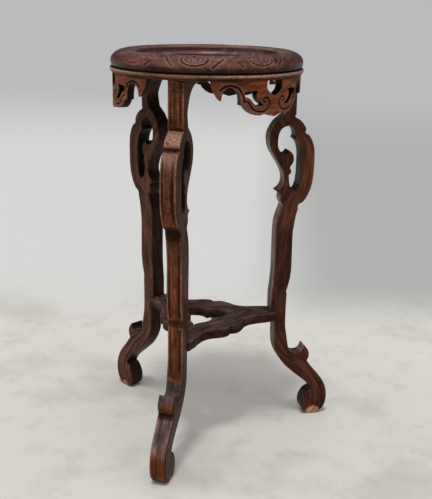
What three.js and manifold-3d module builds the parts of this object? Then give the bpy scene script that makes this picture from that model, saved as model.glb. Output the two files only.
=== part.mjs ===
// A tall round three-legged stand in carved hardwood: a joined top ring with a sunk panel, a collar
// with a bead, openwork aprons, pierced scroll legs and a low triangular stretcher. Millimetres, +Z up.
// Each board is drawn flat, cut, and then wrapped round the stand's axis or turned to its place.
import * as THREE from 'three';
import { mergeVertices } from 'three/addons/utils/BufferGeometryUtils.js';
import Module from 'manifold-3d';

const wasm = await Module();
wasm.setup();

// Driving dimensions
const standHeight = 803;
const legCount = 3;
const fit = 0.3; // clearance between two joined pieces

const ringOuterR = 188;
const ringInnerR = 136;
const ringDepth = 31.4;
const ringFootTurn = 3.5; // how far the ring's wall turns in at its foot
const ringLip = 5.2; // how far the ring's inner edge lies below its crest
const lipWall = 3.3; // upright part of that edge
const coveWidth = 8; // the hollow from that edge in to the panel
const coveFoot = 1; // how far the hollow ends above the panel
const ringJointTurn = 30; // degrees from a leg to the next joint of the ring

const panelSink = 19; // panel face below the crest
const panelThickness = 7;
const panelTongue = 7; // how deep the panel's edge lies in the ring
const panelTongueThickness = 4; // that edge is thinner than the panel's raised face
const battenWidth = 36;

const collarDepth = 11;
const collarInnerR = 96;
const beadProud = 1.5; // the bead's overhang past the ring
const beadHeight = 8.4;
const beadNose = 3.4; // how far the bead's round front stands out
const beadStep = 3.2; // how far the collar's edge stands back below the bead

const tongueWidth = 30; // along the joint
const tongueReach = 12; // into each piece
const ringTongueThickness = 8;
const ringTongueLift = 9.5; // middle of the tongue above the ring's underside
const collarTongueThickness = 4;

const apronSetback = 3.5; // apron face behind the ring's wall
const apronThickness = 17;
const apronHalfSpan = 41; // degrees
const apronDrop = 66; // tip of the pendant below the collar
const pinR = 3;
const pinTurn = 22; // degrees from the middle of an apron to its pins
const pinInApron = 12;
const pinInRing = 12;

const legThickness = 33;
const legSetback = 3; // leg face behind the ring's wall, at the neck
const tenonRadial = 18;
const tenonThickness = 12;
const tenonInRing = 12;
const tenonSetback = 11; // from the neck's face to the tenon

const stretcherTop = 252;
const railThickness = 21;
const armHalfWidth = 20; // half the stretcher's width where it meets a leg
const armReveal = 29; // from the leg's face to the end of the arms
const armShoulder = 9; // how far the leg reaches over the arms
const keyLength = 54;
const keyWidth = 20;
const keyHeight = 9;
const keyInLeg = 18;

const arcStep = 5; // degrees between two facets of a turned piece
const bendStep = 10; // degrees between two facets of a bent board
const legFacets = 2; // facets for each drawn point of a leg's outline
const pinSides = 12;

// Heights and radii that follow
const ringBottom = standHeight - ringDepth;
const collarTop = ringBottom - fit;
const collarBottom = collarTop - collarDepth;
const legTop = collarBottom - fit;
const panelTop = standHeight - panelSink;
const panelBottom = panelTop - panelThickness;
const ringFootR = ringInnerR - coveWidth; // the ring's edge round the panel
const panelR = ringFootR + panelTongue;
const panelFaceR = ringFootR - 2 * fit;
const panelTongueTop = panelBottom + panelTongueThickness;
const beadR = ringOuterR + beadProud;
const apronR = ringOuterR - apronSetback;
const legFaceR = ringOuterR - legSetback;
const legPitch = 360 / legCount;
const pinCircleR = apronR - apronThickness / 2;
const stretcherMiddle = stretcherTop - railThickness / 2;

const woods = {
    ring: { color: 0x5b3630, roughness: 0.45 },
    panel: { color: 0x6a4238, roughness: 0.4 },
    collar: { color: 0x7c5038, roughness: 0.5 },
    apron: { color: 0x7d4526, roughness: 0.5 },
    leg: { color: 0x54342a, roughness: 0.5 },
    rail: { color: 0x655049, roughness: 0.65 },
    hidden: { color: 0x8c6848, roughness: 0.8 },
};

const radians = THREE.MathUtils.degToRad;

// Adds stretches to an outline: one or two points go on in straight lines, more are one smooth curve.
// A straight line also joins a stretch to the one before it, and the last one to the start.
function draw(path, start, stretches) {
    const same = (a, b) => Math.hypot(a[0] - b[0], a[1] - b[1]) < 1e-6;
    path.moveTo(start[0], start[1]);
    let last = start;
    for (const points of stretches) {
        const curve = points.length > 2;
        if (!same(points[0], last)) path.lineTo(points[0][0], points[0][1]);
        if (points.length === 2) path.lineTo(points[1][0], points[1][1]);
        if (curve) path.splineThru(points.slice(1).map(([x, y]) => new THREE.Vector2(x, y)));
        last = points[points.length - 1];
    }
    if (!same(last, start)) path.lineTo(start[0], start[1]);
    return path;
}

function outline(start, stretches) {
    return draw(new THREE.Shape(), start, stretches);
}

function opening(start, stretches) {
    return draw(new THREE.Path(), start, stretches);
}

function board(shape, thickness, steps = 1, facets = 1) {
    return new THREE.ExtrudeGeometry(shape, { depth: thickness, steps, bevelEnabled: false, curveSegments: facets });
}

function block(sizeX, sizeY, sizeZ, x, y, z) {
    return new THREE.BoxGeometry(sizeX, sizeY, sizeZ).translate(x, y, z);
}

function welded(geometry) {
    const bare = new THREE.BufferGeometry();
    bare.setAttribute('position', geometry.getAttribute('position').clone());
    if (geometry.index) bare.setIndex(geometry.index.clone());
    return mergeVertices(bare, 1e-4);
}

function toSolid(geometry) {
    const bare = welded(geometry);
    const vertProperties = new Float32Array(bare.getAttribute('position').array);
    const triVerts = new Uint32Array(bare.index.array);
    return new wasm.Manifold(new wasm.Mesh({ numProp: 3, vertProperties, triVerts }));
}

function toGeometry(solid) {
    const mesh = solid.getMesh();
    const geometry = new THREE.BufferGeometry();
    geometry.setAttribute('position', new THREE.BufferAttribute(mesh.vertProperties, 3));
    geometry.setIndex(new THREE.BufferAttribute(mesh.triVerts, 1));
    return geometry;
}

function cut(geometry, cutters) {
    let solid = toSolid(geometry);
    for (const cutter of cutters) solid = solid.subtract(toSolid(cutter));
    return toGeometry(solid);
}

// Cuts every triangle along evenly spaced planes across X, so that a flat board can be bent.
function sliced(geometry, spacing) {
    const bare = welded(geometry);
    const points = Array.from(bare.getAttribute('position').array);
    let triangles = Array.from(bare.index.array);
    bare.computeBoundingBox();
    const { min, max } = bare.boundingBox;
    const slices = Math.ceil((max.x - min.x) / spacing);
    for (let slice = 1; slice < slices; slice += 1) {
        const plane = min.x + (max.x - min.x) * slice / slices;
        const crossings = new Map();
        const side = (i) => Math.sign(Math.abs(points[3 * i] - plane) < 1e-4 ? 0 : points[3 * i] - plane);
        const crossing = (a, b) => {
            if (side(a) * side(b) >= 0) return -1;
            const [low, high] = a < b ? [a, b] : [b, a];
            const key = `${low} ${high}`;
            if (!crossings.has(key)) {
                const share = (plane - points[3 * low]) / (points[3 * high] - points[3 * low]);
                crossings.set(key, points.length / 3);
                for (let k = 0; k < 3; k += 1) {
                    points.push(points[3 * low + k] + share * (points[3 * high + k] - points[3 * low + k]));
                }
            }
            return crossings.get(key);
        };
        const next = [];
        for (let i = 0; i < triangles.length; i += 3) {
            let corners = triangles.slice(i, i + 3);
            let cuts = corners.map((corner, k) => crossing(corner, corners[(k + 1) % 3]));
            // The corners are turned until the plane crosses the first edge, and not the last one.
            for (let turn = 0; turn < 3 && (cuts[0] < 0 || cuts[2] >= 0); turn += 1) {
                corners = [corners[1], corners[2], corners[0]];
                cuts = [cuts[1], cuts[2], cuts[0]];
            }
            const [a, b, c] = corners;
            if (cuts[0] < 0) next.push(a, b, c);
            else if (cuts[1] < 0) next.push(a, cuts[0], c, cuts[0], b, c);
            else next.push(a, cuts[0], c, cuts[0], cuts[1], c, cuts[0], b, cuts[1]);
        }
        triangles = next;
    }
    const result = new THREE.BufferGeometry();
    result.setAttribute('position', new THREE.Float32BufferAttribute(points, 3));
    result.setIndex(triangles);
    return result;
}

// Moves every point of a geometry to the place that the rule gives for it.
function reshape(geometry, rule) {
    const position = geometry.getAttribute('position');
    for (let i = 0; i < position.count; i += 1) {
        position.setXYZ(i, ...rule(position.getX(i), position.getY(i), position.getZ(i)));
    }
    return geometry;
}

// A section drawn in radius and height, carried round the axis between two azimuths. Azimuth 0 is -Y.
function arc(section, fromDegrees, toDegrees) {
    const turn = toDegrees - fromDegrees;
    const swept = board(section, turn, Math.ceil(turn / arcStep));
    return reshape(swept, (r, z, along) => {
        const a = radians(toDegrees - along);
        return [r * Math.sin(a), -r * Math.cos(a), z];
    });
}

// The half angle that two neighbours give up so that the clearance lies between them.
function halfJoint(radius) {
    return THREE.MathUtils.radToDeg(fit / 2 / radius);
}

function finished(name, geometry, wood, degrees = 0) {
    const material = new THREE.MeshStandardMaterial({ ...woods[wood], metalness: 0 });
    geometry.deleteAttribute('normal');
    geometry.deleteAttribute('uv');
    const mesh = new THREE.Mesh(geometry, material);
    mesh.name = name;
    mesh.rotation.z = radians(degrees);
    return mesh;
}

// A wooden pin, or the hole for it, at one place on the pin circle.
function pinAt(radius, bottom, top, degrees) {
    const a = radians(degrees);
    const pin = new THREE.CylinderGeometry(radius, radius, top - bottom, pinSides);
    pin.rotateX(Math.PI / 2);
    return pin.translate(pinCircleR * Math.sin(a), -pinCircleR * Math.cos(a), (top + bottom) / 2);
}

function pinHoles(bottom, top, middleDegrees) {
    const holeR = (pinR + fit) / Math.cos(Math.PI / pinSides);
    return [-pinTurn, pinTurn].map((turn) => pinAt(holeR, bottom, top, middleDegrees + turn));
}

// The leg's tenon, or with room added the mortise for it, on the front leg.
function tenonBlock(room, bottom, top) {
    const middleR = legFaceR - tenonSetback - tenonRadial / 2;
    return block(tenonThickness + 2 * room, tenonRadial + 2 * room, top - bottom, 0, -middleR, (top + bottom) / 2);
}

function turned(geometry, degrees) {
    return geometry.rotateZ(radians(degrees));
}

// A loose tongue across a joint, or the slot for it. The joint's plane holds the axis and the azimuth.
function tongueBlock(room, thickness, middleR, middleZ, degrees) {
    const long = tongueWidth + 2 * room;
    const wide = 2 * (tongueReach + room);
    return turned(block(wide, long, thickness + 2 * room, 0, -middleR, middleZ), degrees);
}

const tenonTop = ringBottom + tenonInRing;
const pinTop = ringBottom + pinInRing;
const pinBottom = legTop - pinInApron;
const ringTongueR = (panelR + ringOuterR) / 2;
const ringTongueZ = ringBottom + ringTongueLift;
const collarTongueR = (collarInnerR + beadR) / 2;
const collarTongueZ = (collarTop + collarBottom) / 2;

// The carved ring: a fat round ring with its foot turned in over the bead. A hollow runs down from its
// inner edge to the panel. Its crest, as [share of the ring's width in from the wall, mm below the top].
const ringCrest = [
    [0.0115, 16], [0.06, 11], [0.154, 6.4], [0.308, 2.2], [0.48, 0], [0.654, 0.5], [0.808, 2.1], [0.96, 4.4],
];
const ringFoot = [[1, 0], [0.25, 0.16], [0, 0.32]]; // share of the turn-in, share of the ring's depth
const coveTurns = [0, 25, 50, 75, 90]; // degrees

function ringSection() {
    const wall = ringOuterR;
    const inner = ringInnerR;
    const grooveR = panelR + fit;
    const foot = ringFoot.map(([turn, rise]) => [wall - turn * ringFootTurn, ringBottom + rise * ringDepth]);
    const crest = ringCrest.map(([share, drop]) => [wall - share * (wall - inner), standHeight - drop]);
    const coveTop = standHeight - ringLip - lipWall;
    const cove = coveTurns.map(radians).map((turn) => [
        ringFootR + coveWidth * Math.cos(turn),
        coveTop - (coveTop - panelTop - coveFoot) * Math.sin(turn),
    ]);
    return outline([ringFootR, ringBottom], [
        [foot[0]],
        [...foot, ...crest, [inner, standHeight - ringLip]],
        [cove[0]],
        cove,
        [[ringFootR, panelTongueTop + fit]],
        [[grooveR, panelTongueTop + fit]],
        [[grooveR, panelBottom - fit]],
        [[ringFootR, panelBottom - fit]],
    ]);
}

function ringSegment(index) {
    const from = ringJointTurn + index * legPitch;
    const to = from + legPitch;
    const back = halfJoint(ringFootR);
    const cutters = [from, to].map((a) => tongueBlock(fit, ringTongueThickness, ringTongueR, ringTongueZ, a));
    for (let leg = 0; leg <= legCount; leg += 1) {
        const at = leg * legPitch;
        if (at > from && at < to) cutters.push(turned(tenonBlock(fit, ringBottom - 1, tenonTop + fit), at));
        cutters.push(...pinHoles(ringBottom - 1, pinTop + fit, at + legPitch / 2));
    }
    return finished(`ring_segment_${index + 1}`, cut(arc(ringSection(), from + back, to - back), cutters), 'ring');
}

// The collar: a wide flat ring that the legs carry, with a bead round the top of its edge.
function collarSection() {
    const half = beadHeight / 2;
    const section = new THREE.Shape();
    section.moveTo(collarInnerR, collarBottom);
    section.lineTo(beadR - beadStep, collarBottom);
    section.lineTo(beadR - beadStep, collarTop - beadHeight);
    section.lineTo(beadR - beadNose, collarTop - beadHeight);
    section.absellipse(beadR - beadNose, collarTop - half, beadNose, half, -Math.PI / 2, Math.PI / 2, false, 0);
    section.lineTo(collarInnerR, collarTop);
    section.closePath();
    return section;
}

function collarPiece(index) {
    const from = legPitch / 2 + index * legPitch;
    const to = from + legPitch;
    const back = halfJoint(collarInnerR);
    const cutters = [from, to].map((a) => tongueBlock(fit, collarTongueThickness, collarTongueR, collarTongueZ, a));
    cutters.push(turned(tenonBlock(fit, collarBottom - 1, collarTop + 1), from + legPitch / 2));
    for (const middle of [from, to]) cutters.push(...pinHoles(collarBottom - 1, collarTop + 1, middle));
    return finished(`collar_${index + 1}`, cut(arc(collarSection(), from + back, to - back), cutters), 'collar');
}

// The panel: a raised round face, and a thinner edge that lies in the ring's groove.
function panel() {
    const disc = (radius, top) => {
        const turning = new THREE.CylinderGeometry(radius, radius, top - panelBottom, 360 / arcStep);
        return toSolid(turning.rotateX(Math.PI / 2).translate(0, 0, (top + panelBottom) / 2));
    };
    return finished('top_panel', toGeometry(disc(panelR, panelTongueTop).add(disc(panelFaceR, panelTop))), 'panel');
}

function batten() {
    const reach = Math.sqrt((ringFootR * Math.cos(radians(arcStep / 2)) - fit) ** 2 - (battenWidth / 2) ** 2);
    const bottom = collarTop + fit;
    const top = panelBottom - fit;
    return finished('panel_batten', block(battenWidth, 2 * reach, top - bottom, 0, 0, (top + bottom) / 2), 'hidden');
}

// The apron: half its edge, half the notch in its top and one side opening, as [degrees from the middle,
// mm below the collar].
const apronEdge = [
    [[41, 0], [40.2, 10], [38.3, 24], [36.2, 33], [34.6, 34]],
    [[34.6, 34], [34.3, 25], [33, 16], [30, 10.5], [27, 13], [24.8, 20], [23.7, 32], [23.6, 43]],
    [[23.6, 43], [21.6, 43]],
    [[21.6, 43], [19.6, 51], [16, 59], [11.8, 62.4], [7.6, 60]],
    [[7.6, 60], [4, 62.6], [0, 66]],
];
const apronNotch = [[[0, 28.2], [2.3, 24.6], [4.4, 20.2], [5.9, 15], [6.2, 8], [5.8, 0]]];
const apronSideHole = [
    [[21.4, 20.4], [19.6, 18], [16, 17.2], [12.3, 17.6]],
    [[12.3, 17.6], [13.3, 23], [13.4, 28], [12.6, 33.5], [10.8, 38.8], [8.4, 43.8]],
    [[8.4, 43.8], [11, 44.7], [13.8, 43.4], [15.4, 39.4], [16.8, 33.6], [18.5, 29.6], [20.4, 28]],
    [[20.4, 28], [21.1, 24], [21.4, 20.4]],
];

function apronPoint([degrees, drop]) {
    const [drawnEnd] = apronEdge[0][0];
    const [, drawnDrop] = apronEdge.at(-1).at(-1);
    return [radians(degrees * apronHalfSpan / drawnEnd) * apronR, legTop - drop * apronDrop / drawnDrop];
}

function mirrored(stretches) {
    return stretches.map((points) => points.map(([x, y]) => [-x, y]).reverse()).reverse();
}

function apron(index) {
    const edge = apronEdge.map((points) => points.map(apronPoint));
    const notch = apronNotch.map((points) => points.map(apronPoint));
    const toNotch = [mirrored(edge).at(-1).at(-1), mirrored(notch)[0][0]];
    const shape = outline(edge[0][0], [...edge, ...mirrored(edge), toNotch, ...mirrored(notch), ...notch]);
    const side = apronSideHole.map((points) => points.map(apronPoint));
    shape.holes.push(opening(side[0][0], side));
    shape.holes.push(opening(mirrored(side)[0][0], mirrored(side)));
    const flat = sliced(board(shape, apronThickness), radians(bendStep) * apronR);
    const bent = reshape(flat, (along, z, depth) => {
        const a = along / apronR;
        const r = apronR - apronThickness + depth;
        return [r * Math.sin(a), -r * Math.cos(a), z];
    });
    const bored = cut(bent, pinHoles(pinBottom - fit, legTop + 1, 0));
    return finished(`apron_${index + 1}`, bored, 'apron', (index + 0.5) * legPitch);
}

// The leg's outline, as [mm outside the neck's face, mm], first its top part as drops below the leg's top.
const legUpperOutside = [
    [[0, 0], [0, 91]],
    [[0, 91], [9, 96], [17, 104], [22, 113], [24, 123]],
    [[24, 123], [32, 130], [39, 144], [43, 162], [43.5, 200], [41, 229], [34, 250], [25, 265], [15, 273]],
    [[15, 273], [12.5, 283], [8.5, 298], [4, 330]],
];
const legUpperInside = [
    [[-34, 340], [-33, 314], [-30, 299], [-21, 274]],
    [[-21, 274], [-26, 265], [-27, 256], [-25, 251]],
    [[-25, 251], [-36, 243]],
    [[-36, 243], [-27, 237], [-21.5, 227], [-20.5, 216], [-24, 202], [-32, 187], [-43, 170], [-52, 153],
        [-55, 136], [-54, 123], [-49, 111], [-41, 99], [-33, 92], [-24, 85]],
    [[-24, 85], [-20, 68], [-19, 57], [-24, 45], [-31, 32], [-42, 21], [-58, 13], [-84, 9]],
    [[-84, 9], [-84, 0]],
];
const legLoop = [
    [[-15, 107], [-28, 112], [-35, 123], [-37, 138], [-36, 151], [-31, 160]],
    [[-31, 160], [-25, 165.5], [-17, 164.5], [-11.5, 158]],
    [[-11.5, 158], [-4.5, 165], [-1.5, 175], [-4, 185], [-10, 194]],
    [[-10, 194], [-6.5, 199], [-7, 205], [-11, 209]],
    [[-11, 209], [-10, 222], [-7, 234], [-1, 241], [6, 240], [11, 229]],
    [[11, 229], [13, 213], [13.5, 190], [13, 165], [10, 151], [5, 141], [-2, 135]],
    [[-2, 135], [0.5, 127], [-2.5, 117], [-8, 110], [-15, 107]],
];
// The lower part of the leg, as heights above the floor. A shoulder rests on the stretcher's arms.
const legLowerOutside = [
    [[4, 346], [2, 326], [-3, 303]],
    [[-3, 303], [-4, 215]],
    [[-4, 215], [0, 192], [3.5, 172], [6.5, 160], [12, 153.5], [23, 149.5], [33, 151], [38, 156], [42, 166]],
    [[42, 166], [48, 160], [53, 151], [54, 142], [52.5, 135], [49.5, 130]],
    [[49.5, 130], [58, 118], [69, 104], [81, 90], [92, 73], [98, 56], [100, 38], [97, 20], [90, 8], [80, 0]],
    [[80, 0], [59, 0]],
    [[59, 0], [49, 5], [42.5, 17], [41.5, 31], [46, 44], [54, 54], [63, 58.5]],
    [[63, 58.5], [57, 69], [46, 81], [31, 94], [14, 108.5], [-2, 124], [-14, 140], [-22, 155], [-27, 170],
        [-armReveal, 192]],
    [[-armReveal, stretcherTop + fit]],
    [[-armReveal - armShoulder, stretcherTop + fit]],
    [[-38, 292], [-36, 312], [-34, 337]],
];
const armFaceR = legFaceR - armReveal;

function legShape() {
    const upper = ([out, drop]) => [legFaceR + out, legTop - drop];
    const lower = ([out, height]) => [legFaceR + out, height];
    const place = (stretches, rule) => stretches.map((points) => points.map(rule));
    const stretches = [
        ...place(legUpperOutside, upper), ...place(legLowerOutside, lower), ...place(legUpperInside, upper),
    ];
    const shape = outline(stretches[0][0], stretches);
    const loop = place(legLoop, upper);
    shape.holes.push(opening(loop[0][0], loop));
    return shape;
}

function leg(index) {
    // Drawn flat in radius and height, then stood up as the front leg.
    const flat = board(legShape(), legThickness, 1, legFacets).translate(0, 0, -legThickness / 2);
    const stood = flat.rotateX(Math.PI / 2).rotateZ(-Math.PI / 2);
    const tenoned = toSolid(stood).add(toSolid(tenonBlock(0, legTop - 5, tenonTop)));
    const mortise = keyBlock(fit, armFaceR - 2, armFaceR + keyInLeg + fit);
    const cutLeg = toGeometry(tenoned.subtract(toSolid(mortise)));
    return finished(`leg_${index + 1}`, cutLeg, 'leg', index * legPitch);
}

// The loose tenon between two rails and a leg, or the room for it, at the front leg.
function keyBlock(room, fromR, toR) {
    const middle = (fromR + toR) / 2;
    return block(keyWidth + 2 * room, toR - fromR, keyHeight + 2 * room, 0, -middle, stretcherMiddle);
}

// A rail of the stretcher, as [mm from its middle, mm from the axis], from its middle to the mitre.
const railOutside = [[0, 82], [5, 86.5], [16, 89.5], [30, 86], [45, 78.5], [60, 74.5], [80, 78.5], [98, 86]];
const railInside = [[57, 33.5], [46, 31.5], [34, 34.5], [20, 37.5], [8, 33.5], [0, 26]];

function rail(index) {
    const half = radians(legPitch / 2);
    // A point at a leg: its radius, and how far it stands off the leg's middle plane.
    const atLeg = (r, off) => [r * Math.sin(half) - off * Math.cos(half), r * Math.cos(half) + off * Math.sin(half)];
    const endR = armFaceR - fit;
    const tip = railInside[0];
    const tipR = Math.hypot(tip[0], tip[1]);
    const outside = [...railOutside, atLeg(endR, armHalfWidth)];
    const inside = [atLeg(tipR, fit / 2), ...railInside.slice(1)];
    const flip = (points) => points.map(([x, y]) => [-x, y]).reverse();
    const shape = outline(railOutside[0], [
        outside, [atLeg(endR, fit / 2)], [inside[0]], inside, flip(inside),
        [flip([atLeg(endR, fit / 2)])[0]], [flip([atLeg(endR, armHalfWidth)])[0]], flip(outside),
    ]);
    const flat = board(shape, railThickness).rotateX(Math.PI).translate(0, 0, stretcherTop);
    const keyFrom = armFaceR + keyInLeg - keyLength - fit;
    const slots = [-1, 1].map((side) => turned(keyBlock(fit, keyFrom, armFaceR + 1), side * legPitch / 2));
    return finished(`rail_${index + 1}`, cut(flat, slots), 'rail', (index + 0.5) * legPitch);
}

// The stand is put together round its axis, and then set over the middle of its floor space.
const stand = new THREE.Group();
stand.add(panel(), batten());
for (let i = 0; i < legCount; i += 1) {
    stand.add(ringSegment(i), collarPiece(i), leg(i), apron(i), rail(i));
    const ringJoint = ringJointTurn + i * legPitch;
    const collarJoint = (i + 0.5) * legPitch;
    const ringTongue = tongueBlock(0, ringTongueThickness, ringTongueR, ringTongueZ, ringJoint);
    const collarTongue = tongueBlock(0, collarTongueThickness, collarTongueR, collarTongueZ, collarJoint);
    stand.add(finished(`ring_tongue_${i + 1}`, ringTongue, 'hidden'));
    stand.add(finished(`collar_tongue_${i + 1}`, collarTongue, 'hidden'));
    for (const [letter, turn] of [['a', -pinTurn], ['b', pinTurn]]) {
        stand.add(finished(`apron_pin_${i + 1}${letter}`, pinAt(pinR, pinBottom, pinTop, collarJoint + turn), 'hidden'));
    }
    const key = keyBlock(0, armFaceR + keyInLeg - keyLength, armFaceR + keyInLeg);
    stand.add(finished(`arm_key_${i + 1}`, key, 'hidden', i * legPitch));
}
stand.updateMatrixWorld(true);
const floorBox = new THREE.Box3().setFromObject(stand, true);
stand.position.y = -(floorBox.min.y + floorBox.max.y) / 2;

export default stand;
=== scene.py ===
import math

import bmesh
import bpy
import numpy as np
from mathutils import Matrix, Vector
from mathutils.geometry import delaunay_2d_cdt


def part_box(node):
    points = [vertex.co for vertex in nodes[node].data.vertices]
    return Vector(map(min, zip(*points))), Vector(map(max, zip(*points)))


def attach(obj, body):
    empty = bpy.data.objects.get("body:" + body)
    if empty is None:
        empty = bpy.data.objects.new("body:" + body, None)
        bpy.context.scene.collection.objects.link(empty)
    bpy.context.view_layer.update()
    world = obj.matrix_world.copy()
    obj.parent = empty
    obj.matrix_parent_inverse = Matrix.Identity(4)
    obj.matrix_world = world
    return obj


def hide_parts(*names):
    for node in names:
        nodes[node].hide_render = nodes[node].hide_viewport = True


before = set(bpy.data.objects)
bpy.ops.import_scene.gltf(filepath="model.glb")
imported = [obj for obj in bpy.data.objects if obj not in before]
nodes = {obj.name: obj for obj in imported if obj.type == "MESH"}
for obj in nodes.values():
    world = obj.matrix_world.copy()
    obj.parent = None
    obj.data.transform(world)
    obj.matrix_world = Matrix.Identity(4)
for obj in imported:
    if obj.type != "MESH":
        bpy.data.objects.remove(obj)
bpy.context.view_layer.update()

# The stand's own frame: its upright axis passes through the middle of the round panel,
# and every board is drawn in radius, height and distance from its own middle plane.
MM = 0.001
panel_low, panel_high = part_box("top_panel")
axis_y = (panel_low[1] + panel_high[1]) / 2
leg_pitch = 120


# The three legs: each is sawn from one hardwood board, pierced with a scrolled loop and tenoned up
# through the collar. Its outer face has sunk strips between two edge beads, and the polish is worn
# off its shoulder, knee and foot. Painted shade lies in its creases, its loops and under its knee,
# each leg's sides are painted lighter or darker, and a painted highlight lies on the bulge's edge
# and dust with a painted sheen on faces that look up.
leg_thickness = 33 * MM
leg_edge = 1.8 * MM
leg_front_edge = 3.4 * MM
leg_step = 1.7 * MM
strip_middle = -1.2 * MM
strip_half_width = 9.6 * MM
strip_groove = 2.2 * MM
strip_groove_half = 2.6 * MM
strip_sunk = 0.6 * MM
leg_strips = ((100, 340, 186, 287, 22, 6), (250, 520, 304, 452, 6, 26), (440, 680, 500, 628, 24, 12),
              (600, 800, 676, 744, 16, 12))
leg_creases = ((297, 2.0, 6.0), (484, 2.4, 6.0), (639, 2.8, 4.6), (672, 2.4, 3.0), (127, 1.6, 3.0),
               (740, 1.3, 1.8), (747, 1.6, 2.0))
# Bands of painted shade in the creases, under the knee's nose and at the neck's top: low and high height in
# mm, and share.
leg_shade_bands = ((289, 304, 0.8), (466, 498, 0.75), (635, 643, 0.85), (670, 675, 0.85), (674, 692, 0.45),
             (121, 131, 0.95), (737, 760, 0.55))
leg_relief_from = 118 * MM
leg_corner = 1.8 * MM
strip_corner = 5 * MM
leg_rows = (12.9, 12.4, 11.9, 11.4, 10.8, 10.2, 9.6, 9.0, 8.4, 7.8, 7.2, 6.6, 5.8, 4, 1.4)
round_steps = np.radians([0, 22.5, 45, 67.5, 90])


def paint(*seen):
    """A colour as it is seen, 0 to 255, turned to the linear numbers that a shader takes."""
    return (np.array(seen) / 255) ** 2.2


def unit(rows):
    return rows / np.maximum(np.linalg.norm(rows, axis=-1, keepdims=True), 1e-12)


def fade(low, high, value):
    """0 below low, 1 above high, and a smooth rise between them."""
    share = np.clip((value - low) / (high - low), 0, 1)
    return share * share * (3 - 2 * share)


def within(span, value):
    """1 between the two middle numbers of a span, fading to 0 at the outer two."""
    return fade(span[0], span[1], value) * fade(span[3], span[2], value)


def looked_up(table, value):
    """The value between the rows of a table of two columns."""
    return np.interp(value, *np.array(table).T)


def laid_over(tone, overlay, share):
    """A colour laid over a tone, by a share for each point."""
    return tone + (overlay - tone) * share[:, None]


def shaded(tone, factor, share):
    """A tone times a factor, by a share for each point."""
    return tone * (1 + (factor - 1) * share[:, None])


def board_outlines(node, to_board, face_depth):
    """The closed outlines of one flat face of a frame piece, with the wood on their left."""
    same_place, same_depth = 0.01 * MM, 0.05 * MM
    merged = bmesh.new()
    merged.from_mesh(node.data)
    bmesh.ops.remove_doubles(merged, verts=merged.verts, dist=same_place)
    place = {vert: to_board(vert.co) for vert in merged.verts}
    near = {vert for vert in merged.verts if abs(place[vert][2] - face_depth) < same_depth}
    on_face = {face for face in merged.faces if all(vert in near for vert in face.verts)}
    following = {}
    for face in on_face:
        for corner in face.loops:
            if not any(other is not face and other in on_face for other in corner.edge.link_faces):
                following[corner.vert] = corner.link_loop_next.vert
    outlines = []
    while following:
        first, vert = following.popitem()
        ring = [place[first][:2]]
        while vert is not first:
            ring.append(place[vert][:2])
            vert = following.pop(vert)
        outlines.append(np.array(ring))
    merged.free()
    outlines.sort(key=lambda ring: -abs(signed_area(ring)))
    if signed_area(outlines[0]) < 0:
        outlines = [ring[::-1] for ring in outlines]
    return outlines


def signed_area(ring):
    ahead = np.roll(ring, -1, axis=0)
    return np.sum(ring[:, 0] * ahead[:, 1] - ring[:, 1] * ahead[:, 0]) / 2


def lengths_along(points):
    """How far along a line of points each one lies."""
    return np.concatenate([[0], np.cumsum(np.linalg.norm(np.diff(points, axis=0), axis=1))])


def through(points, step, trim_start=0.0, trim_end=0.0):
    """A smooth curve through points in even steps, shortened by the given lengths at its ends."""
    points = np.asarray(points, float)
    samples = 12
    if len(points) > 2:
        gap = np.maximum(np.linalg.norm(np.diff(points, axis=0), axis=1), 1e-9) ** 0.5
        slope = np.diff(points, axis=0) / gap[:, None]
        tangent = np.empty_like(points)
        ahead, behind = gap[1:, None], gap[:-1, None]
        tangent[1:-1] = (slope[1:] * behind + slope[:-1] * ahead) / (ahead + behind)
        tangent[0] = 1.5 * slope[0] - 0.5 * tangent[1]
        tangent[-1] = 1.5 * slope[-1] - 0.5 * tangent[-2]
        s = np.linspace(0, 1, samples, endpoint=False)[None, :, None]
        start, end, width = points[:-1, None], points[1:, None], gap[:, None, None]
        dense = (start * (2 * s**3 - 3 * s**2 + 1) + end * (3 * s**2 - 2 * s**3)
                 + width * tangent[:-1, None] * (s**3 - 2 * s**2 + s)
                 + width * tangent[1:, None] * (s**3 - s**2))
        points = np.vstack([dense.reshape(-1, points.shape[1]), points[-1:]])
    along = lengths_along(points)
    count = max(1, round((along[-1] - trim_start - trim_end) / step))
    at = np.linspace(trim_start, along[-1] - trim_end, count + 1)
    return np.stack([np.interp(at, along, column) for column in points.T], 1)


def smooth_outline(ring, step, soften):
    """Runs a smooth curve through an outline between its corners, and softens the corners."""
    ahead = np.roll(ring, -1, axis=0) - ring
    heading = np.arctan2(ahead[:, 1], ahead[:, 0])
    turn = np.abs((heading - np.roll(heading, 1) + math.pi) % (2 * math.pi) - math.pi)
    beside = np.maximum(np.roll(turn, 1), np.roll(turn, -1))
    sharp, slight, lead = math.radians(50), math.radians(24), 1.6
    corner = (turn > sharp) | ((turn > slight) & (turn > lead * beside))
    ends = np.flatnonzero(corner)
    if len(ends) < 2:
        return through(closed(ring), step)[:-1]
    parts = []
    for here, there in zip(ends, np.roll(ends, -1)):
        past = there if there > here else there + len(ring)
        stretch = ring[np.arange(here, past + 1) % len(ring)]
        trim = min(soften, 0.3 * lengths_along(stretch)[-1])
        parts.append((through(stretch, step, trim, trim), stretch[-1]))
    outline = []
    for index, (curve, tip) in enumerate(parts):
        after = parts[(index + 1) % len(parts)][0][0]
        outline.append(curve)
        for share in (0.25, 0.5, 0.75):
            blend = (1 - share) ** 2 * curve[-1] + 2 * share * (1 - share) * tip + share**2 * after
            outline.append(blend[None])
    return np.vstack(outline)


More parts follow.
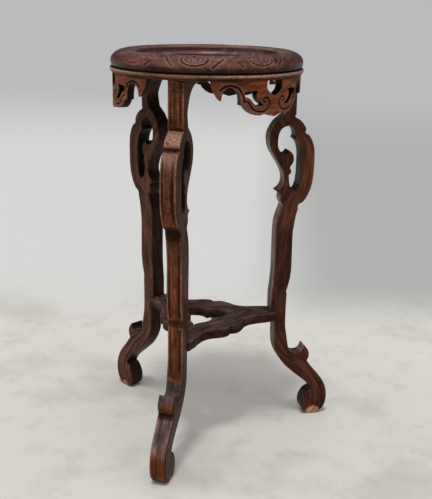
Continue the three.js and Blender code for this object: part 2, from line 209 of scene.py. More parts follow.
def edge_frame(outline, edge):
    """The way into the wood at each point of an outline, and how far the edge can be rounded there."""
    ahead = np.roll(outline, -1, axis=0) - outline
    behind = outline - np.roll(outline, 1, axis=0)
    to_next, to_here = unit(ahead), unit(behind)
    left = unit(to_next + to_here)
    inward = np.stack([-left[:, 1], left[:, 0]], 1)
    cross = to_here[:, 0] * to_next[:, 1] - to_here[:, 1] * to_next[:, 0]
    length = np.linalg.norm(ahead, axis=1) + np.linalg.norm(behind, axis=1)
    bend = np.arcsin(np.clip(cross, -1, 1)) / length * 2
    share_of_bend, passes, growth = 0.75, 12, 0.02 * edge
    rounding = np.minimum(edge, np.where(bend > 1, share_of_bend / np.maximum(bend, 1), edge))
    for _ in range(passes):
        rounding = np.minimum(rounding, 0.5 * (np.roll(rounding, 1) + np.roll(rounding, -1)) + growth)
    return inward, rounding


def line_distance(points, line):
    """How far each point lies from a drawn line."""
    best = np.full(len(points), np.inf)
    for start, end in zip(line[:-1], line[1:]):
        run = end - start
        share = np.clip(((points - start) @ run) / max(run @ run, 1e-12), 0, 1)
        best = np.minimum(best, np.linalg.norm(points - start - share[:, None] * run, axis=1))
    return best


def closed(ring):
    return np.vstack([ring, ring[:1]])


def inside_rings(points, rings):
    """Which points lie inside the first ring and outside the others."""
    inside = np.zeros(len(points), bool)
    for ring in rings:
        for (x0, y0), (x1, y1) in zip(ring, np.roll(ring, -1, axis=0)):
            if y0 != y1:
                between = (points[:, 1] < y0) != (points[:, 1] < y1)
                inside ^= between & (points[:, 0] < x0 + (points[:, 1] - y0) * (x1 - x0) / (y1 - y0))
    return inside


def spots_between(rings, low, high, step):
    """Points of a staggered grid that lie well inside the face that the rings bound."""
    row_pitch, margin = 0.87 * step, 0.55 * step
    grid = np.array([(x + (row % 2) * step / 2, y)
                     for row, y in enumerate(np.arange(low[1], high[1], row_pitch))
                     for x in np.arange(low[0], high[0], step)])
    clear = np.all([line_distance(grid, closed(ring)) > margin for ring in rings], axis=0)
    return grid[clear & inside_rings(grid, rings)]


def fill_face(rings, spots=np.zeros((0, 2))):
    """Triangles that fill the space inside the first ring and outside the others, over some spots."""
    same_point = 1e-9
    edges = []
    for ring in rings:
        here = len(edges) + np.arange(len(ring))
        edges += list(zip(here.tolist(), np.roll(here, -1).tolist()))
    points = [Vector(p) for p in np.vstack([*rings, spots])]
    verts, _, faces, sources, _, _ = delaunay_2d_cdt(points, edges, [], 1, same_point)
    flat = np.array([v[:] for v in verts])
    faces = np.array(faces)
    source = np.array([s[0] if s else -1 for s in sources])
    faces = source[faces[inside_rings(flat[faces].mean(axis=1), rings)]]
    return faces[(faces >= 0).all(axis=1)]


def quads(start, count):
    """The faces between the closed row of points that begins at start and the row before it."""
    here = start + np.arange(count)
    beside = start + (np.arange(count) + 1) % count
    return np.column_stack([here - count, beside - count, beside, here])


def both_ways(*depths):
    return [*depths, *(-depth for depth in reversed(depths))]


def sawn_board(outlines, half, edges, walls, relief=None, spots_on=None, rim_width=1.25,
               roundness=(0.2, 1, 0, 1, 0.2)):
    """A board sawn to its outlines, with rounded edges, rows of points at the given depths of each wall,
    and a relief cut in the first wall. spots_on gives more points for one of its two faces.
    Gives points (two on the outline's plane, one across it), faces, the cut, and how round each edge is,
    which is told for the front's rim and rounding, the wall, and the back's rounding and rim."""
    points, faces, cuts, rounds, rims = [], [], [], [], {1: [], -1: []}
    base = 0
    for index, (outline, edge, depths) in enumerate(zip(outlines, edges, walls)):
        inward, rounding = edge_frame(outline, edge)
        count = len(outline)
        front = [(rounding * rim_width, half, 0)]
        front += [(rounding * (1 - math.sin(a)), half - rounding * (1 - math.cos(a)), math.sin(a))
                  for a in round_steps]
        rows = [*front, *((0, depth, 1) for depth in depths),
                *((inset, -depth, share) for inset, depth, share in reversed(front))]
        turns = len(round_steps)
        rounds.append(np.repeat(roundness, np.array([1, turns, len(depths), turns, 1]) * count))
        for number, (inset, depth, share) in enumerate(rows):
            cut = np.zeros(count)
            if relief and index == 0:
                cut = cut + share * relief(outline, inward, depth)
            cuts.append(cut)
            points.append(np.column_stack([outline + inward * (inset + cut)[:, None],
                                           np.broadcast_to(depth, count)]))
            if number:
                faces.append(quads(base + number * count, count))
        rims[1].append((base, points[-len(rows)][:, :2]))
        rims[-1].append((base + (len(rows) - 1) * count, points[-1][:, :2]))
        base += len(rows) * count
    for side, bounds in rims.items():
        rings = [flat for _, flat in bounds]
        spots = spots_on(side, rings) if spots_on else np.zeros((0, 2))
        places = [start + np.arange(len(flat)) for start, flat in bounds] + [base + np.arange(len(spots))]
        faces.append(np.concatenate(places)[fill_face(rings, spots)])
        points.append(np.column_stack([spots, np.full(len(spots), side * half)]))
        cuts.append(np.zeros(len(spots)))
        rounds.append(np.zeros(len(spots)))
        base += len(spots)
    return np.vstack(points), faces, np.concatenate(cuts), np.concatenate(rounds)


def turn_outward(mesh, merge=0.0):
    """Turns a mesh's faces outward, once its points that lie closer than a distance are merged."""
    work = bmesh.new()
    work.from_mesh(mesh)
    if merge:
        bmesh.ops.remove_doubles(work, verts=work.verts, dist=merge)
    bmesh.ops.recalc_face_normals(work, faces=work.faces)
    work.to_mesh(mesh)
    work.free()


def dressed(mesh, sharp, values):
    """An object of a mesh with smooth shading, its values stored at its points by name."""
    for label, rows in values.items():
        kind, field = {"board": ("FLOAT_VECTOR", "vector"),
                       "tone": ("FLOAT_COLOR", "color")}.get(label, ("FLOAT", "value"))
        if label == "tone":
            rows = np.column_stack([rows, np.ones(len(rows))])
        layer = mesh.attributes.new(label, kind, "POINT")
        layer.data.foreach_set(field, np.asarray(rows, np.float32).ravel())
    mesh.shade_smooth()
    mesh.set_sharp_from_angle(angle=math.radians(sharp))
    piece = bpy.data.objects.new(mesh.name, mesh)
    bpy.context.collection.objects.link(piece)
    return piece


def make_piece(name, points, faces, material, sharp=40, **values):
    """A mesh object from points and lists of faces, its normals outward, its point values stored."""
    mesh = bpy.data.meshes.new(name)
    mesh.from_pydata(points.tolist(), [], [list(map(int, face)) for block in faces for face in block])
    turn_outward(mesh)
    mesh.materials.append(material)
    return dressed(mesh, sharp, values)


def set_inputs(node, inputs):
    """Sets a node's inputs, or links them where a value is another node's output."""
    for key, value in dict(inputs).items():
        if isinstance(value, bpy.types.NodeSocket):
            node.id_data.links.new(value, node.inputs[key])
        else:
            node.inputs[key].default_value = value


def add_node(tree, kind, inputs=(), output=0, **settings):
    """Adds a node to a tree and gives one of its outputs."""
    made = tree.nodes.new(kind)
    for key, value in settings.items():
        setattr(made, key, value)
    set_inputs(made, inputs)
    return made.outputs[output]


def ranged(tree, value, low, high, to_low=0.0, to_high=1.0):
    """A smooth rise from to_low at low to to_high at high."""
    return add_node(tree, "ShaderNodeMapRange", {
        "Value": value, "From Min": low, "From Max": high, "To Min": to_low, "To Max": to_high},
        interpolation_type="SMOOTHSTEP")


def maths(tree, kind, first, second):
    return add_node(tree, "ShaderNodeMath", {0: first, 1: second}, operation=kind)


def mixed(tree, kind, share, first, second):
    """Two colours mixed by a share. A plain value is given as three numbers."""
    first, second = (value if isinstance(value, bpy.types.NodeSocket) else (*value, 1)
                     for value in (first, second))
    return add_node(tree, "ShaderNodeMix", {0: share, 6: first, 7: second}, 2,
                    data_type="RGBA", blend_type=kind)


def noise(tree, place, scale, detail, rough):
    return add_node(tree, "ShaderNodeTexNoise", {
        "Vector": place, "Scale": scale, "Detail": detail, "Roughness": rough}, "Fac")


def new_material(name):
    material = bpy.data.materials.new(name)
    material.use_nodes = True
    return material, material.node_tree, material.node_tree.nodes["Principled BSDF"]


# The wood's noises, each with its scale, its stretch along and across the board, detail and roughness,
# and the five of them that shade it, with their low and high, and how much they darken and lighten.
wood_noises = {
    "grain": (260, (0.045, 1, 1), 5, 0.55), "figure": (38, (0.12, 1, 1), 3, 0.55),
    "patch": (17, (0.55, 1, 1), 4, 0.6), "mottle": (85, (0.3, 1, 1), 4, 0.62),
    "pores": (1500, (0.06, 1, 1), 2, 0.55), "speck": (420, (0.7, 1, 1), 3, 0.55),
    "blotch": (120, (0.22, 1, 1), 5, 0.7), "hatch": (330, (1, 0.22, 0.22), 3, 0.6),
    "warm": (31, (0.3, 1, 1), 3, 0.55)}
wood_shades = (("grain", 0.3, 0.72, 0.55, 0.5), ("figure", 0.3, 0.7, 0.3, 0.3),
               ("patch", 0.34, 0.68, 0.5, 0.45), ("mottle", 0.36, 0.62, 0.6, 0.35),
               ("pores", 0.3, 0.42, 0.28, 0))
wood_red = (1.25, 0.72, 0.66)
wood_bump = 0.6 * MM


def aged_wood(name, dirt_and_shade, worn_and_lit, roughness=0.46, streaks=0.5, patches=0.5, mottling=0.5, blotches=0.4,
              red=0.3, bump=0.25, polish=0.04):
    """Old stained hardwood: grain along the board, dirt and painted shade where the groove values say,
    lighter where it is rubbed and where a highlight is painted.
    """
    material, tree, shader = new_material(name)
    board = add_node(tree, "ShaderNodeAttribute", (), "Vector", attribute_name="board")
    colour = add_node(tree, "ShaderNodeAttribute", (), "Color", attribute_name="tone")
    groove, wear, shine, marks = (add_node(tree, "ShaderNodeAttribute", (), "Fac", attribute_name=label)
                                  for label in ("groove", "wear", "shine", "marks"))
    field = {}
    for label, (scale, stretch, detail, rough) in wood_noises.items():
        place = add_node(tree, "ShaderNodeMapping", {"Vector": board, "Scale": stretch})
        field[label] = noise(tree, place, scale, detail, rough)
    strengths = {"grain": streaks, "figure": streaks, "patch": patches, "mottle": mottling, "pores": 1}
    for label, low, high, darker, lighter in wood_shades:
        dark, light = 1 - darker * strengths[label], 1 + lighter * strengths[label]
        colour = mixed(tree, "MULTIPLY", 1.0, colour, ranged(tree, field[label], low, high, dark, light))
    colour = mixed(tree, "MULTIPLY", marks, colour, ranged(tree, field["hatch"], 0.34, 0.6, 0.3, 1.2))
    colour = mixed(tree, "MULTIPLY", ranged(tree, field["warm"], 0.5, 0.62, 0.0, red), colour, wood_red)
    colour = mixed(tree, "MIX", ranged(tree, field["blotch"], 0.5, 0.66, 0.0, blotches), colour, dirt_and_shade)
    # the wear values hold wear and painted highlights, the groove values dirt and painted shade
    rubbed_and_lit = maths(tree, "MULTIPLY", wear, ranged(tree, field["speck"], 0.36, 0.6, 0.25, 1.0))
    colour = mixed(tree, "MIX", maths(tree, "MULTIPLY", rubbed_and_lit, 0.85), colour, worn_and_lit)
    dirt_and_shade_share = maths(tree, "MULTIPLY", groove, ranged(tree, field["speck"], 0.3, 0.75, 1.0, 0.72))
    colour = mixed(tree, "MIX", dirt_and_shade_share, colour, dirt_and_shade)
    dull = ranged(tree, field["patch"], 0.3, 0.7, roughness + 0.1, roughness - 0.08)
    dull = maths(tree, "ADD", dull, maths(tree, "MULTIPLY", groove, 0.22))
    dull = maths(tree, "ADD", dull, maths(tree, "MULTIPLY", shine, -0.14))
    height = maths(tree, "ADD", field["grain"], field["pores"])
    relief = add_node(tree, "ShaderNodeBump", {"Height": height, "Strength": bump, "Distance": wood_bump})
    coat = maths(tree, "ADD", maths(tree, "MULTIPLY", shine, 0.6), polish)
    set_inputs(shader, {"Base Color": colour, "Roughness": dull, "Normal": relief,
                        "Specular IOR Level": 0.07, "Coat Weight": coat, "Coat Roughness": 0.3})
    return material


leg_face_stain = paint(129, 75, 48)
leg_bulge_stain = paint(112, 68, 50)
# The sides of the legs are one wood, painted lighter or darker on each leg as light and shade.
leg_side_lit_tones = (paint(72, 42, 32), paint(86, 50, 38), paint(98, 62, 49))
# The inner edges, with a painted sheen on the second leg's.
leg_inner_tones_and_sheen = (paint(66, 44, 36), paint(130, 108, 94), paint(60, 38, 31))
# Painted shade: the walls of the pierced loops are near black.
leg_hole_shade = paint(32, 19, 16)
# A painted highlight: orange light on the side faces near the bulge's outer edge, more on some legs.
leg_painted_highlight = paint(120, 68, 36)
# Dust with a painted sheen: a blue-grey on faces that look up and on the knee's top.
leg_dust_and_sheen = paint(72, 67, 66)
# Wear with a painted highlight on the bulge's brow, which faces up.
leg_brow_wear_and_highlight = paint(136, 104, 96)
leg_calf_stain = paint(152, 118, 108)
leg_foot_stain = paint(98, 54, 30)
leg_toe_inner_stain = paint(50, 36, 33)
leg_toe_r = 254 * MM
leg_toe_bare = (8, 18, 11)
leg_toe_bare_stain = paint(186, 136, 98)
# Painted shade on the sides of the necks and of the feet, by leg.
leg_neck_painted_shade = (1, 0.85, 0.55)
leg_foot_painted_shade = (1, 0.7, 1)
leg_bare = paint(140, 100, 70)
# How strong the painted highlight is on each leg, and where it lies by radius and height.
leg_highlight_shares = (0.1, 0.8, 0.4)
leg_highlight_r = (196 * MM, 216 * MM)
leg_zones = {"bulge": (490, 520, 590, 625), "knee top": (146, 157, 170, 184), "brow": (596, 628, 634, 640),
             "knee nose": (118, 128, 148, 158), "shaft top": (420, 470, 490, 500),
             "shaft foot": (178, 188, 196, 240), "rubbed shoulder": (638, 652, 668, 672),
             "rubbed brow": (575, 632, 632, 640)}
leg_highlight_zone = (505, 545, 570, 625)
# Painted shade under the knee's nose, on the shaft under the bulge and low on the shaft.
leg_zone_painted_shade = {"knee nose": 0.75, "shaft top": 0.4, "shaft foot": 0.5}
leg_band_soft = 3
leg_neck_rise = (640, 665)
leg_foot_fall = (125, 70)
leg_inner_foot = (90, 60)
leg_calf_foot = (90, 48)
leg_calf_top = (132, 120)
leg_sole_top = (9, 2)
leg_worn_edge_from = (150, 200)
leg_tenon_r = (156 * MM, 174 * MM)
leg_tenon_half = 6 * MM
leg_tenon_below = 6 * MM
leg_tenon_height = 29 * MM
leg_board_shift = np.array([1.7, 0.31, 0.13])
leg_toe_reach = 24 * MM
leg_toe_step = 2 * MM
leg_marks = ((175, 0), (200, 0.25), (450, 0.25), (500, 0.6), (640, 0.6), (680, 0.5), (760, 0.6))
leg_bow = ((0, 80), (20, 97), (38, 100), (56, 98), (73, 92), (90, 81), (104, 69), (118, 58), (130, 49.5),
           (150, 25), (192, 0), (215, -4), (303, -3), (430, 4), (487, 15), (510, 34), (560, 43.5),
           (616, 39), (637, 24), (664, 9), (669, 0), (760, 0))
leg_wood = aged_wood("leg_wood", dirt_and_shade=paint(22, 12, 10), worn_and_lit=paint(194, 146, 120), roughness=0.4,
                     streaks=0.8, mottling=0.7, blotches=0.6, bump=0.4, polish=0.03)


def leg_relief(outline, inward, depth):
    """How deep the carver cut the leg's outer face at each point of one row, in metres."""
    z = outline[:, 1]
    across = np.abs(depth - strip_middle)
    cut = np.zeros(len(z))
    for low, high, from_z, to_z, soft_from, soft_to in leg_strips:
        middle, reach = (low + high) / 2 * MM, (high - low) / 2 * MM
        beyond_z = np.abs(z - middle) - reach + strip_corner
        beyond_t = across - strip_half_width + strip_corner
        outside = np.hypot(np.maximum(beyond_z, 0), np.maximum(beyond_t, 0))
        distance = outside + np.minimum(np.maximum(beyond_z, beyond_t), 0) - strip_corner
        groove = strip_groove * np.maximum(0, 1 - (distance / strip_groove_half) ** 2)
        shown = within((from_z, from_z + soft_from, to_z - soft_to, to_z), z / MM)
        cut = np.maximum(cut, shown * np.maximum(groove, strip_sunk * fade(0, 2 * MM, -distance)))
    for height, deep, half in leg_creases:
        cut = np.maximum(cut, deep * MM * np.maximum(0, 1 - ((z - height * MM) / (half * MM)) ** 2))
    return cut * fade(0.1, 0.4, -inward[:, 0]) * fade(leg_relief_from, leg_relief_from + 4 * MM, z)


def leg_tones(points, across_out, up, hole, round_edge, cut, index):
    """Stain, dirt, wear, painted shade, highlight and sheen, and cross marks of a leg's points. across_out
    is how far the wood faces outward.
    """
    r, z = points[:, 0], points[:, 1] / MM
    outer = fade(0.25, 0.6, across_out)
    inner = fade(0.25, 0.6, -across_out)
    zone = {label: within(span, z) * outer for label, span in leg_zones.items()}
    # this leg's side tone, with its painted light and shade
    side = shaded(leg_side_lit_tones[index], leg_neck_painted_shade[index], fade(*leg_neck_rise, z))
    side = shaded(side, leg_foot_painted_shade[index], fade(*leg_foot_fall, z))
    inner_tone_and_sheen = laid_over(leg_inner_tones_and_sheen[index], leg_toe_inner_stain, fade(*leg_inner_foot, z))
    calf = laid_over(leg_calf_stain, leg_foot_stain, fade(*leg_calf_foot, z))
    # faces that look up get dust with a painted sheen
    flat_top = fade(0.35, 0.8, up) * fade(0.0, 0.3, 1 - inner)
    # painted highlight on the side faces near the bulge's outer edge
    highlight = within(leg_highlight_zone, z) * fade(*leg_highlight_r, r) * (1 - hole)
    tone = side
    # stains in turn, with painted shade in the loops, dust and painted sheen, and painted highlights
    for overlay, share in ((inner_tone_and_sheen, inner), (leg_face_stain, outer), (leg_bulge_stain, zone["bulge"]),
                         (leg_hole_shade, hole), (calf, fade(*leg_calf_top, z) * outer),
                         (leg_dust_and_sheen, np.maximum(0.8 * flat_top, 0.9 * zone["knee top"])),
                         (leg_painted_highlight, highlight * leg_highlight_shares[index]), (leg_brow_wear_and_highlight, 0.7 * zone["brow"])):
        tone = laid_over(tone, overlay, share)
    # painted shade by zone
    for label, shade in leg_zone_painted_shade.items():
        tone = shaded(tone, shade, zone[label])
    toe = fade(1.1, 0.85, np.hypot(r - leg_toe_r, points[:, 1]) / (leg_toe_bare[index] * MM))
    tone = laid_over(tone, leg_toe_bare_stain, toe)
    sole = np.maximum(fade(*leg_sole_top, z), toe)
    edge = round_edge * fade(*leg_worn_edge_from, z)
    wear = 0.34 * edge * outer + 0.08 * edge + 0.35 * sole
    wear += 0.8 * zone["rubbed shoulder"] + 0.3 * zone["rubbed brow"]
    groove = np.clip(cut / (1.5 * MM) - 0.3, 0, 1) * 0.78
    # painted shade in bands across the outer face
    for low, high, share in leg_shade_bands:
        band = (low - leg_band_soft, low + leg_band_soft, high - leg_band_soft, high + leg_band_soft)
        groove = np.maximum(groove, share * within(band, z) * outer)
    return tone, np.clip(groove, 0, 1), np.clip(wear, 0, 1), looked_up(leg_marks, z) * outer


def board_plane(degrees):
    """Turns a point to an upright board's plane: distance from the axis, height, distance off the plane."""
    cos, sin = math.cos(math.radians(degrees)), math.sin(math.radians(degrees))

    def to_board(co):
        return co[0] * sin - (co[1] - axis_y) * cos, co[2], co[0] * cos + (co[1] - axis_y) * sin

    def to_stand(points):
        r, z, t = points.T
        return np.column_stack([r * sin + t * cos, axis_y - r * cos + t * sin, z])

    return to_board, to_stand


def block_points(low, high):
    corners = np.array([[x, y, z] for x in (low[0], high[0]) for y in (low[1], high[1])
                        for z in (low[2], high[2])])
    sides = [[0, 1, 3, 2], [4, 6, 7, 5], [0, 4, 5, 1], [2, 3, 7, 6], [0, 2, 6, 4], [1, 5, 7, 3]]
    return corners, np.array(sides)


def build_legs():
    half = leg_thickness / 2
    to_board, _ = board_plane(0)
    outlines = board_outlines(nodes["leg_1"], to_board, half)
    outlines = [smooth_outline(ring, leg_step, leg_corner) for ring in outlines]
    inward, _ = edge_frame(outlines[0], leg_edge)
    edges = [leg_edge + (leg_front_edge - leg_edge) * fade(0.1, 0.6, -inward[:, 0])]
    edges += [leg_edge] * (len(outlines) - 1)
    walls = [both_ways(*(row * MM for row in leg_rows))]
    walls += [both_ways(0.4 * half)] * (len(outlines) - 1)

    def toe_spots(_, rings):
        low = (leg_toe_r - leg_toe_reach, leg_toe_step)
        return spots_between(rings, low, (leg_toe_r + leg_toe_reach, leg_toe_reach), leg_toe_step)

    body, faces, cut, round_edge = sawn_board(outlines, half, edges, walls, leg_relief, toe_spots)
    body[:, 1] = np.maximum(body[:, 1], 0)
    rows = len(walls[0]) + 2 * (1 + len(round_steps))
    outer_count = rows * len(inward)
    from_side = half - np.abs(body[:, 2])
    normals = np.zeros((len(body), 2))
    normals[:outer_count] = np.tile(-inward, (rows, 1))
    normals *= fade(0.6 * MM, 3.0 * MM, from_side)[:, None]
    hole = (np.arange(len(body)) >= outer_count) * fade(0.1 * MM, 1.4 * MM, from_side)
    tenon_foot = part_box("collar_1")[0][2] - leg_tenon_below
    tenon, tenon_faces = block_points((leg_tenon_r[0], tenon_foot, -leg_tenon_half),
                                      (leg_tenon_r[1], tenon_foot + leg_tenon_height, leg_tenon_half))
    points = np.vstack([body, tenon])
    faces.append(tenon_faces + len(body))
    for index in range(3):
        _, to_stand = board_plane(index * leg_pitch)
        tone, *values = leg_tones(body, normals[:, 0], normals[:, 1], hole, round_edge, cut, index)
        groove, wear, marks = (np.append(value, np.zeros(len(tenon))) for value in values)
        board = points[:, [1, 0, 2]] + leg_board_shift * (index + 1)
        board[:, 1] -= looked_up(leg_bow, points[:, 1] / MM) * MM
        leg = make_piece(f"carved_leg_{index + 1}", to_stand(points), faces, leg_wood, board=board,
                         tone=np.vstack([tone, np.tile(leg_bare, (len(tenon), 1))]),
                         groove=groove, wear=wear, marks=marks)
        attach(leg, "root")
        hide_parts(f"leg_{index + 1}")


build_legs()


# The stretcher: three bracketed boards, mitred to each other at the legs and tied there by loose
# tenons. They lie in the dust, so their polish has gone dull, and their tops are lighter and greyer,
# as dust with a painted sheen.
rail_thickness = 21 * MM
rail_edge = 1.4 * MM
rail_step = 2 * MM
rail_row = 6 * MM
rail_top_dust_and_sheen = paint(92, 72, 66)
rail_side_stain = paint(66, 42, 34)
rail_wood = aged_wood("rail_wood", dirt_and_shade=paint(30, 20, 18), worn_and_lit=paint(140, 112, 98), roughness=0.6,
                      streaks=0.8, mottling=0.8, blotches=0.6, bump=0.45, polish=0.0)
rail_board_shift = np.array([0.9, 2.3, 0.4])


def bare_wood(name, colour, roughness=0.75):
    """Sawn wood inside the joints, without stain or polish."""
    material, tree, shader = new_material(name)
    grain = noise(tree, add_node(tree, "ShaderNodeTexCoord", (), "Object"), 240, 4, 0.5)
    colour = mixed(tree, "MIX", grain, colour * 0.7, colour * 1.15)
    set_inputs(shader, {"Base Color": colour, "Roughness": roughness})
    return material


key_wood = bare_wood("key_wood", paint(118, 84, 60))


def leave_bare(name):
    """Gives a hidden piece of the frame the bare wood."""
    materials = nodes[name].data.materials
    materials.clear()
    materials.append(key_wood)


def build_rails():
    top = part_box("rail_1")[1][2]
    to_board, _ = board_plane(leg_pitch / 2)

    def to_rail(co):
        r, z, along = to_board(co)
        return along, r, z - top

    outline = smooth_outline(board_outlines(nodes["rail_1"], to_rail, 0)[0], rail_step, rail_edge)
    half = rail_thickness / 2
    points, faces, _, round_edge = sawn_board([outline], half, [rail_edge], [both_ways(rail_row)])
    # tops lighter and greyer: dust with a painted sheen
    upper = fade(0.3, 0.9, points[:, 2] / half)
    tone = laid_over(rail_side_stain, rail_top_dust_and_sheen, upper)
    along, r, height = points.T
    upright = np.column_stack([r, top - half + height, along])
    for index in range(3):
        _, to_stand = board_plane((index + 0.5) * leg_pitch)
        rail = make_piece(f"bracket_rail_{index + 1}", to_stand(upright), faces, rail_wood, tone=tone,
                          board=points + rail_board_shift * (index + 1), wear=0.3 * round_edge * upper)
        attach(rail, "root")
        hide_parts(f"rail_{index + 1}")
        leave_bare(f"arm_key_{index + 1}")


build_rails()


# The collar: a flat ring in three arcs that the legs carry, with a bead run round the top of its
# edge. Hands have rubbed the bead down to tan wood; the wear is kept to its upper half as a painted
# highlight and is less at the front as painted shade. Dirt and painted shade lie under and over
# the bead, and loose tongues join the arcs end to end.
bead_r = 189.5 * MM
bead_height = 8.4 * MM
bead_nose = 3.4 * MM
collar_step = 3.2 * MM
collar_inner_r = 96 * MM
collar_hairline = 0.04 * MM
collar_same_place = 0.001 * MM
collar_steps = 121
collar_stain = paint(92, 55, 38)
# Wear on the bead by angle round the stand, with painted shade at the front: angle and share.
bead_wear = ((-180, 0.9), (-60, 1), (-35, 0.8), (-18, 0.2), (8, 0.3), (36, 0.95), (180, 0.9))
collar_wood = aged_wood("collar_wood", dirt_and_shade=paint(30, 16, 10), worn_and_lit=paint(204, 164, 138), roughness=0.44,
                        streaks=0.7, patches=0.9, mottling=0.8, blotches=0.6)
collar_board_shift = np.array([0.53, 0.11, 0.07])


def collar_tree():
    """Geometry Nodes: an arc round the stand's axis, with the collar's section run along it."""
    tree = bpy.data.node_groups.new("collar_arc", "GeometryNodeTree")
    face = tree.interface
    face.new_socket("Section", in_out="INPUT", socket_type="NodeSocketGeometry")
    sockets = {name: face.new_socket(name, in_out="INPUT", socket_type="NodeSocketFloat")
               for name in ("Radius", "From angle", "Sweep", "Axis Y")}
    sockets["Steps"] = face.new_socket("Steps", in_out="INPUT", socket_type="NodeSocketInt")
    sockets["Wood"] = face.new_socket("Wood", in_out="INPUT", socket_type="NodeSocketMaterial")
    face.new_socket("Collar", in_out="OUTPUT", socket_type="NodeSocketGeometry")
    given = tree.nodes.new("NodeGroupInput").outputs
    arc = add_node(tree, "GeometryNodeCurveArc", {
        "Radius": given["Radius"], "Start Angle": given["From angle"], "Sweep Angle": given["Sweep"],
        "Resolution": given["Steps"]}, mode="RADIUS")
    upright = add_node(tree, "GeometryNodeSetCurveNormal", {"Curve": arc}, mode="Z_UP")
    run = add_node(tree, "GeometryNodeCurveToMesh", {
        "Curve": upright, "Profile Curve": given["Section"], "Fill Caps": True})
    offset = add_node(tree, "ShaderNodeCombineXYZ", {"Y": given["Axis Y"]})
    place = add_node(tree, "GeometryNodeTransform", {"Geometry": run, "Translation": offset})
    real = add_node(tree, "GeometryNodeRealizeInstances", {"Geometry": place})
    stained = add_node(tree, "GeometryNodeSetMaterial", {"Geometry": real, "Material": given["Wood"]})
    set_inputs(tree.nodes.new("NodeGroupOutput"), {"Collar": stained})
    return tree, {name: socket.identifier for name, socket in sockets.items()}


def collar_section(bottom, top):
    """The collar's section as radius and height: a flat board, a small cove, and the bead above it."""
    half = bead_height / 2
    turns = np.radians(np.arange(-90, 91, 12))
    nose = [(bead_r - bead_nose * (1 - math.cos(a)), top - half * (1 - math.sin(a))) for a in turns]
    edge = bead_r - collar_step
    base = top - bead_height
    return [(collar_inner_r, bottom), (edge - 0.9 * MM, bottom), (edge - 0.2 * MM, bottom + 0.3 * MM),
            (edge, bottom + 1.1 * MM), (edge, base - 0.6 * MM), (edge + 0.1 * MM, base - 0.1 * MM),
            *nose, (collar_inner_r, top)]


def collar_arc(name, section, tree, sockets, start, sweep):
    """The mesh of one arc, made by the nodes from a section that is drawn as a curve."""
    curve = bpy.data.curves.new("collar_section", "CURVE")
    curve.dimensions = "3D"
    spline = curve.splines.new("POLY")
    spline.points.add(len(section) - 1)
    for point, (r, z) in zip(spline.points, section):
        point.co = (r - bead_r, -z, 0, 1)
    spline.use_cyclic_u = True
    drawn = bpy.data.objects.new("collar_section", curve)
    bpy.context.collection.objects.link(drawn)
    modifier = drawn.modifiers.new("collar", "NODES")
    modifier.node_group = tree
    values = {"Radius": bead_r, "From angle": start, "Sweep": sweep, "Axis Y": axis_y,
              "Steps": collar_steps, "Wood": collar_wood}
    for label, value in values.items():
        modifier[sockets[label]] = value
    evaluated = drawn.evaluated_get(bpy.context.evaluated_depsgraph_get())
    mesh = bpy.data.meshes.new_from_object(evaluated)
    bpy.data.objects.remove(drawn)
    mesh.name = name
    turn_outward(mesh, collar_same_place)
    return mesh


def collar_values(mesh, middle, top):
    """Grain that follows an arc, dirt and painted shade under and over the bead, and wear with a painted
    highlight on its nose.
    """
    x, y, z = np.array([v.co[:] for v in mesh.vertices]).T
    radius, angle = np.hypot(x, y - axis_y), np.arctan2(x, axis_y - y)
    turn = angle - math.radians(middle)
    board = np.column_stack([radius * np.sin(turn), radius * np.cos(turn), z])
    base = top - bead_height
    # wear on the bead's nose, kept to its upper half as a painted highlight
    nose_wear_and_light = fade(bead_r - 2.4 * MM, bead_r - 0.4 * MM, radius)
    nose_wear_and_light *= fade(top - 0.75 * bead_height, top - 0.4 * bead_height, z)
    nose_wear_and_light *= looked_up(bead_wear, np.degrees(angle))
    # painted shade with some dirt in the step under the bead and in the gap over it
    step = fade(base + 0.8 * MM, base - 0.2 * MM, z)
    tuck = step * fade(bead_r - 1.6 * MM, bead_r - 3 * MM, radius)
    tuck *= fade(base - 1.6 * MM, base - 0.2 * MM, z)
    top_line = fade(top - 1.2 * MM, top - 0.2 * MM, z)
    return {"board": board + (middle / 10 + 72) * collar_board_shift, "wear": 0.95 * nose_wear_and_light,
            "tone": np.tile(collar_stain, (len(x), 1)), "groove": np.clip(tuck + top_line, 0, 0.85)}


def build_collar():
    low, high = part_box("collar_1")
    tree, sockets = collar_tree()
    section = collar_section(low[2], high[2])
    back = collar_hairline / bead_r
    for index, middle in enumerate((120, -120, 0)):
        start = math.radians(leg_pitch * (index + 0.5) - 90) + back
        mesh = collar_arc(f"beaded_collar_{index + 1}", section, tree, sockets, start,
                          math.radians(leg_pitch) - 2 * back)
        collar = dressed(mesh, 50, collar_values(mesh, middle, high[2]))
        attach(collar, "root")
        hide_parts(f"collar_{index + 1}")
        leave_bare(f"collar_tongue_{index + 1}")


build_collar()


# The aprons: bent boards let in between the legs and pinned up through the collar, pierced and
# sawn to a scrolled outline. A dark line is cut round each scroll, and the rims are rolled. Their
# walls are painted near black and their tops under the collar darker, as shade, and the crowns of
# the rolls are worn with a painted highlight.
apron_r = 184.5 * MM
apron_thickness = 17 * MM
apron_edge = 1.1 * MM
apron_grid = 1.0 * MM
apron_back_grid = 4 * MM
apron_step = 1.2 * MM
apron_corner = 0.9 * MM
apron_rim_width = 1.3
apron_board_shift = np.array([1.3, 0.7, 0.2])
line_step = 1.5 * MM
apron_line_depth = 1.9 * MM
apron_line_half = 1.95 * MM
apron_roll = 1.5 * MM
apron_roll_width = 4.2 * MM
apron_stain = paint(134, 73, 42)
apron_band_stain = paint(118, 76, 60)
